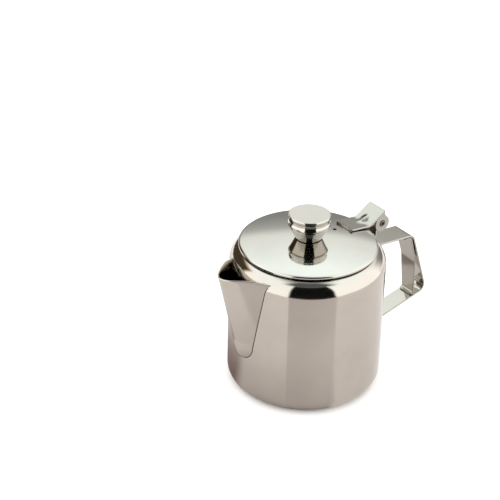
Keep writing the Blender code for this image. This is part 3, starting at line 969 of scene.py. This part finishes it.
def build_hinge():
    half = HINGE_SHEET / 2.0
    lift = GAP + half
    bend = (HINGE_BEND_X, LID_RIM_Z + lift + 0.55)
    corners = [(HINGE_TONGUE_START, lid_height(HINGE_TONGUE_START) + lift, 0), (*bend, 9.0),
               (*HINGE_TIP, 0)]
    end = 1.6
    path = end_steps(divided(filleted(corners, 12), 0.9), end, 4)
    along = (Vector(HINGE_TIP) - Vector(bend)).normalized()

    def pressed(x, y, z):
        """The stiffening dimple pressed into the bend, raised on its upper side."""
        away = math.hypot((x - bend[0]) / DIMPLE_LENGTH, y / DIMPLE_WIDTH)
        raised = DIMPLE_HEIGHT * math.exp(-away * away * 1.6)
        return x - raised * along.y, y, z + raised * along.x

    bm = strap(path, HINGE_SHEET, lambda p: HINGE_WIDTH - 0.02, 22, (end, end), pressed)
    low = Vector(bend) + along * 3.2
    high = Vector(HINGE_TIP) - along * 1.2
    rim = arc((PIN_X, PIN_Z), EAR_RADIUS, 62.0, -215.0, 40)
    outline = [tuple(low), tuple(high)] + rim
    for side in (-1, 1):
        edges = sorted((side * HINGE_WIDTH / 2.0, side * (HINGE_WIDTH / 2.0 - HINGE_SHEET)))
        ear = flat_plate(outline, edges[0], edges[1])
        hole = rod((PIN_X, 0.0, PIN_Z), (0, 1, 0), PIN_RADIUS + GAP, HINGE_WIDTH + 4.0, 40)
        join_meshes(bm, cut(ear, hole, EAR_BEVEL))
    make_piece("lid_hinge", bm, hinge_steel_with_painted_shade, "lid", ["lid_hinge_strap"], 45.0)

    reach = PIN_RADIUS + GAP + BRACKET_SHEET / 2.0
    foot_x = BODY_RADIUS + GAP + BRACKET_SHEET / 2.0
    path = [(foot_x, BRACKET_FOOT_Z), (foot_x, 92.0), (foot_x, 97.0)]
    path += arc((PIN_X, PIN_Z), reach, 185.0, -125.0, 48)
    path = end_steps(divided(path, 2.5), 2.0)

    def to_wall(x, y, z):
        return bent_round(x, y, z, share_of(z, 99.0, 91.0))

    bm = strap(path, BRACKET_SHEET, lambda p: BRACKET_WIDTH, 10, (2.0, 0.0), to_wall)
    make_piece("hinge_knuckle", bm, bracket_steel, "pot", ["hinge_bracket"])

    half = PIN_LENGTH / 2.0
    edge = 0.35
    outline = [(PIN_BORE, -half + 0.25), (PIN_BORE + 0.2, -half)]
    outline += [(PIN_RADIUS - edge, -half)]
    outline += arc((PIN_RADIUS - edge, -half + edge), edge, -90.0, 0.0, 4)[1:]
    outline += arc((PIN_RADIUS - edge, half - edge), edge, 0.0, 90.0, 4)
    outline += [(PIN_BORE + 0.2, half), (PIN_BORE, half - 0.25)]
    bm = turned(outline, 48)
    bmesh.ops.rotate(bm, verts=bm.verts, cent=(0, 0, 0),
                     matrix=Matrix.Rotation(math.pi / 2.0, 3, 'X'))
    bmesh.ops.translate(bm, verts=bm.verts, vec=(PIN_X, 0.0, PIN_Z))
    make_piece("hinge_pin_rolled", bm, pin_steel, "pot", ["hinge_pin"], 40.0)


# ------------------------------------------------------------------ knob

def build_knob():
    foot = LID_CROWN_Z + GAP
    lip = KNOB_RADIUS - 0.7
    side = 1.2
    base = filleted([(LID_HOLE_RADIUS, foot + 1.4, 0), (LID_HOLE_RADIUS, foot, 0),
                     (KNOB_FOOT_RADIUS, foot, 0.5), (lip, KNOB_RIDGE_Z, 0.35),
                     (lip - side, KNOB_RIDGE_Z, 0.3), (KNOB_FOOT_RADIUS - side, foot + 1.4, 0.4),
                     (LID_HOLE_RADIUS + 0.05, foot + 1.4, 0)], 6, 0.1)
    bm = turned(base[:-1] + [(LID_HOLE_RADIUS + 0.6, foot + 1.4)], 128)
    make_piece("knob_cone", bm, base_steel, "lid", ["knob_base"], 40.0)

    bottom = KNOB_RIDGE_Z + GAP
    waist = KNOB_RADIUS - 0.8
    middle = (bottom + KNOB_TOP_Z) / 2.0
    wide = KNOB_RADIUS
    inner = waist - 1.0
    outline = filleted([(0.0, KNOB_TOP_Z, 0), (wide, KNOB_TOP_Z, 0.8),
                        (wide - 0.1, KNOB_TOP_Z - 1.9, 0.5), (waist, KNOB_TOP_Z - 2.9, 0.9),
                        (waist, middle - 0.8, 0.9), (wide - 0.1, bottom + 2.1, 0.7),
                        (wide, bottom + 0.9, 0.5), (wide - 0.8, bottom, 0.4),
                        (inner - 0.4, bottom, 0.3), (inner, KNOB_TOP_Z - 1.0, 0.5),
                        (0.0, KNOB_TOP_Z - 1.0, 0)], 6, 0.1)
    bm = turned(outline, 128)
    make_piece("knob_top", bm, cap_steel, "lid", ["knob_cap"], 45.0)


def dress_fasteners():
    for node in ("knob_screw", "knob_washer", "knob_nut"):
        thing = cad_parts[node]
        thing.data.materials.clear()
        thing.data.materials.append(fastener_steel)


# ------------------------------------------------------------------ studio

def bare_material(name):
    """A material with an empty node tree, and the helper that fills it."""
    material = bpy.data.materials.new(name)
    material.use_nodes = True
    material.node_tree.nodes.clear()
    return material, Nodes(material.node_tree)


def studio_light_material():
    """The studio as the polished metal sees it: a white tent with dark parts.

    Azimuth 0 is towards the camera and grows to the right. Angles are in degrees.
    """
    material, n = bare_material("studio_light")
    unit = n.add('ShaderNodeVectorMath', operation='NORMALIZE')
    n.put(unit.inputs[0], n.add('ShaderNodeTexCoord').outputs['Object'])
    x, y, z = n.split(unit.outputs[0])
    azimuth = n.math('ARCTAN2', x, n.math('MULTIPLY', y, -1.0))
    azimuth = n.math('MULTIPLY', azimuth, math.degrees(1.0))
    height = n.math('MULTIPLY', n.math('ARCSINE', z), math.degrees(1.0))
    spread = n.math('ABSOLUTE', azimuth)

    # White tent on both sides, dimmer overhead. The far side is a sweep, and its levels are
    # (share of the way from the table's edge to overhead, brightness).
    side = 2.1
    roof = 0.55
    brightest = 2.0
    far = n.add('ShaderNodeValToRGB')
    ramp = far.color_ramp
    ramp.interpolation = 'CARDINAL'
    levels = ((0.0, 0.26), (0.11, 0.38), (0.19, 0.48), (0.265, 0.80), (0.30, 1.36),
              (0.37, 1.60), (0.45, 1.86), (0.54, 2.10), (0.70, 1.75), (0.85, 0.9), (1.0, 0.5))
    while len(ramp.elements) < len(levels):
        ramp.elements.new(0.5)
    for element, (position, level) in zip(ramp.elements, levels):
        element.position = position
        element.color = (level / brightest,) * 3 + (1.0,)
    n.put(far.inputs[0], n.math('DIVIDE', height, 90.0))
    far_level = n.math('MULTIPLY', far.outputs[0], brightest)
    overhead = n.rise(height, 62.0, 84.0)
    side_level = n.blend(overhead, side, roof)
    level = n.blend(n.rise(spread, 112.0, 140.0), side_level, far_level)

    # The dark gap where the camera stands, and the dim room above it
    gap_left = -25.0
    gap_right = 37.0
    gap_level = 0.012
    room_level = 0.17
    gap_top = n.rise(height, 54.0, 64.0, 1.0, 0.0)
    gap = n.math('MULTIPLY', n.window(azimuth, gap_left, gap_right, 5.0), gap_top)
    level = n.blend(gap, level, gap_level)
    room = n.math('MULTIPLY', n.window(azimuth, -48.0, 60.0, 24.0),
                  n.window(height, 56.0, 84.0, 10.0))
    level = n.blend(room, level, room_level)

    # A brown flag low on the left, behind the spout
    flag_level = 0.10
    flag_top = n.rise(height, 32.0, 44.0, 1.0, 0.0)
    flag = n.math('MULTIPLY', n.window(azimuth, -160.0, -104.0, 10.0), flag_top)
    level = n.blend(flag, level, flag_level)

    cool = (0.91, 1.0, 1.0, 1.0)
    warm = (0.97, 1.0, 0.98, 1.0)
    brown = (1.0, 0.76, 0.45, 1.0)
    tint = n.mix(n.rise(height, 24.0, 42.0), warm, cool)
    tint = n.mix(flag, tint, brown)
    out = n.add('ShaderNodeOutputMaterial')
    n.put(out.inputs['Surface'], n.emission(tint, level))
    material.cycles.emission_sampling = 'NONE'
    return material


def floor_shade_material():
    """What the pot's wall sees of its own shade, and the camera's, on the table."""
    material, n = bare_material("floor_shade")
    x, y, z = n.split(n.add('ShaderNodeTexCoord').outputs['Object'])
    away = n.length(x, y)
    # The camera's shade has straight edges, which meet a little in front of the pot's axis
    apex = 0.029
    forward = n.math('SUBTRACT', n.math('MULTIPLY', y, -1.0), apex)
    azimuth = n.math('MULTIPLY', n.math('ARCTAN2', x, forward), math.degrees(1.0))
    middle = n.window(azimuth, -27.4, 43.0, 2.0)
    band = n.math('ADD', n.rise(azimuth, -27.0, 43.0, 0.20, 0.14),
                  n.rise(away, 0.14, 0.18, 0.0, 0.10))
    band = n.math('MULTIPLY', middle, band)

    # Shade close to the base, deepest on the left, and light thrown back on the right
    front_shade = 0.22
    middle_shade = 0.08
    left_shade = 0.80
    right_light = 0.40
    right = n.rise(azimuth, 38.0, 48.0)
    left = n.rise(azimuth, -106.0, -88.0, 1.0, 0.0)
    amount = n.blend(middle, n.blend(right, front_shade, right_light), middle_shade)
    near = n.math('MULTIPLY', n.rise(away, 0.055, 0.140, 1.0, 0.0),
                  n.blend(left, amount, left_shade))
    clear = n.math('MULTIPLY', n.math('SUBTRACT', 1.0, band), n.math('SUBTRACT', 1.0, near))
    shade_colour = (0.16, 0.06, 0.04, 1.0)
    light_colour = (1.0, 0.98, 0.96, 1.0)
    black = (0.0, 0.0, 0.0, 1.0)
    shade = n.emission(n.mix(right, shade_colour, light_colour), n.blend(right, 1.2, 1.6))
    glass = n.add('ShaderNodeBsdfTransparent').outputs[0]
    table = n.mix_shaders(clear, shade, glass)

    # The table is lit brighter for the camera than the metal should see it
    seen_in_metal = 0.755
    out = n.add('ShaderNodeOutputMaterial')
    n.put(out.inputs['Surface'], n.mix_shaders(seen_in_metal, n.emission(black, 0.0), table))
    return material


def studio_object(name, bm, material, height):
    thing = new_object(name, bm)
    thing.data.materials.append(material)
    thing.location = (0.0, 0.0, height)
    return thing


def reflection_only(thing):
    """Let only the polished metal see it, and face it to the camera's side."""
    thing.rotation_euler = (0.0, 0.0, -VIEW_AZIMUTH)
    for ray in ("camera", "diffuse", "shadow", "transmission", "volume_scatter"):
        setattr(thing, "visible_" + ray, False)


def build_tent():
    """A dome that stands on the table, and the lit part of the table as a broken ring."""
    segments = 64
    levels = 16
    bm = bmesh.new()
    rings = [ring(bm, TENT_RADIUS, -TENT_CENTRE, segments)]
    for i in range(levels):
        up = math.pi / 2.0 * i / levels
        rings.append(ring(bm, TENT_RADIUS * math.cos(up), TENT_RADIUS * math.sin(up), segments))
    bridge(bm, rings)
    top = bm.verts.new((0.0, 0.0, TENT_RADIUS))
    for k in range(segments):
        bm.faces.new((rings[-1][k], rings[-1][(k + 1) % segments], top))

    # In front the ring starts along a straight line, and further out on the right than left
    steps = 96
    end = math.radians(118.0)
    front_edge = 0.28
    left_edge = 0.36
    right_edge = 0.50
    low = Vector((0.0, 0.0, 0.0006 - TENT_CENTRE))
    near, away = [], []
    for k in range(steps + 1):
        turn = -end + 2.0 * end * k / steps
        front = front_edge / max(math.cos(turn), 0.2)
        edge = min(front, left_edge if turn < 0.0 else right_edge)
        direction = Vector((math.sin(turn), -math.cos(turn), 0.0))
        near.append(bm.verts.new(direction * edge + low))
        away.append(bm.verts.new(direction * TENT_RADIUS + low))
    bridge(bm, [near, away], closed=False)
    tent = studio_object("studio_tent", bm, studio_light_material(), TENT_CENTRE)
    reflection_only(tent)
    return tent


def build_shade():
    """A thin sheet just above the table, from under the pot to beyond its reflection."""
    bm = bmesh.new()
    bridge(bm, [ring(bm, radius, 0.0, 96) for radius in (0.0465, 0.60)])
    shade = studio_object("floor_shade", bm, floor_shade_material(), 0.0003)
    reflection_only(shade)
    return shade


def build_floor():
    paint = bpy.data.materials.new("floor_white")
    paint.use_nodes = True
    shader = paint.node_tree.nodes["Principled BSDF"]
    shader.inputs['Base Color'].default_value = FLOOR_COLOUR
    shader.inputs['Roughness'].default_value = 1.0
    shader.inputs['Specular IOR Level'].default_value = 0.0
    bm = bmesh.new()
    bmesh.ops.create_grid(bm, x_segments=2, y_segments=2, size=14.0)
    return studio_object("floor", bm, paint, -0.0002)


def build_studio():
    tent = build_tent()
    shade = build_shade()
    floor = build_floor()
    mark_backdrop(tent, shade, floor)

    world = bpy.data.worlds.new("studio_air")
    bpy.context.scene.world = world
    world.use_nodes = True
    background = world.node_tree.nodes["Background"]
    background.inputs['Color'].default_value = (1.0, 1.0, 1.0, 1.0)
    background.inputs['Strength'].default_value = FLOOR_LIGHT


def build_camera():
    camera = bpy.data.cameras.new("camera")
    camera.lens = CAMERA_LENS
    camera.sensor_width = 36.0
    camera.clip_start = 0.02
    thing = bpy.data.objects.new("camera", camera)
    bpy.context.scene.collection.objects.link(thing)
    right = Vector((math.cos(VIEW_AZIMUTH), -math.sin(VIEW_AZIMUTH), 0.0))
    forward = Vector((math.cos(VIEW_TILT) * math.sin(VIEW_AZIMUTH),
                      math.cos(VIEW_TILT) * math.cos(VIEW_AZIMUTH), -math.sin(VIEW_TILT)))
    up = right.cross(forward)
    axes = Matrix((right, up, -forward)).transposed()
    roll = Matrix.Rotation(VIEW_ROLL, 3, 'Z')
    thing.matrix_world = Matrix.Translation(CAMERA_PLACE) @ (axes @ roll).to_4x4()
    bpy.context.scene.camera = thing


build_camera()
build_body()
build_spout()
build_handle()
build_lid()
build_hinge()
build_knob()
dress_fasteners()
build_studio()
bpy.context.scene.view_settings.view_transform = 'Standard'

visual_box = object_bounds()


def plain(value):
    """Numbers and vectors, however nested, as plain lists of numbers."""
    if isinstance(value, dict):
        return {key: plain(item) for key, item in value.items()}
    if hasattr(value, "__len__") and not isinstance(value, str):
        return [plain(item) for item in value]
    return float(value)


{"cad": plain(cad_box), "visual": plain(visual_box)}
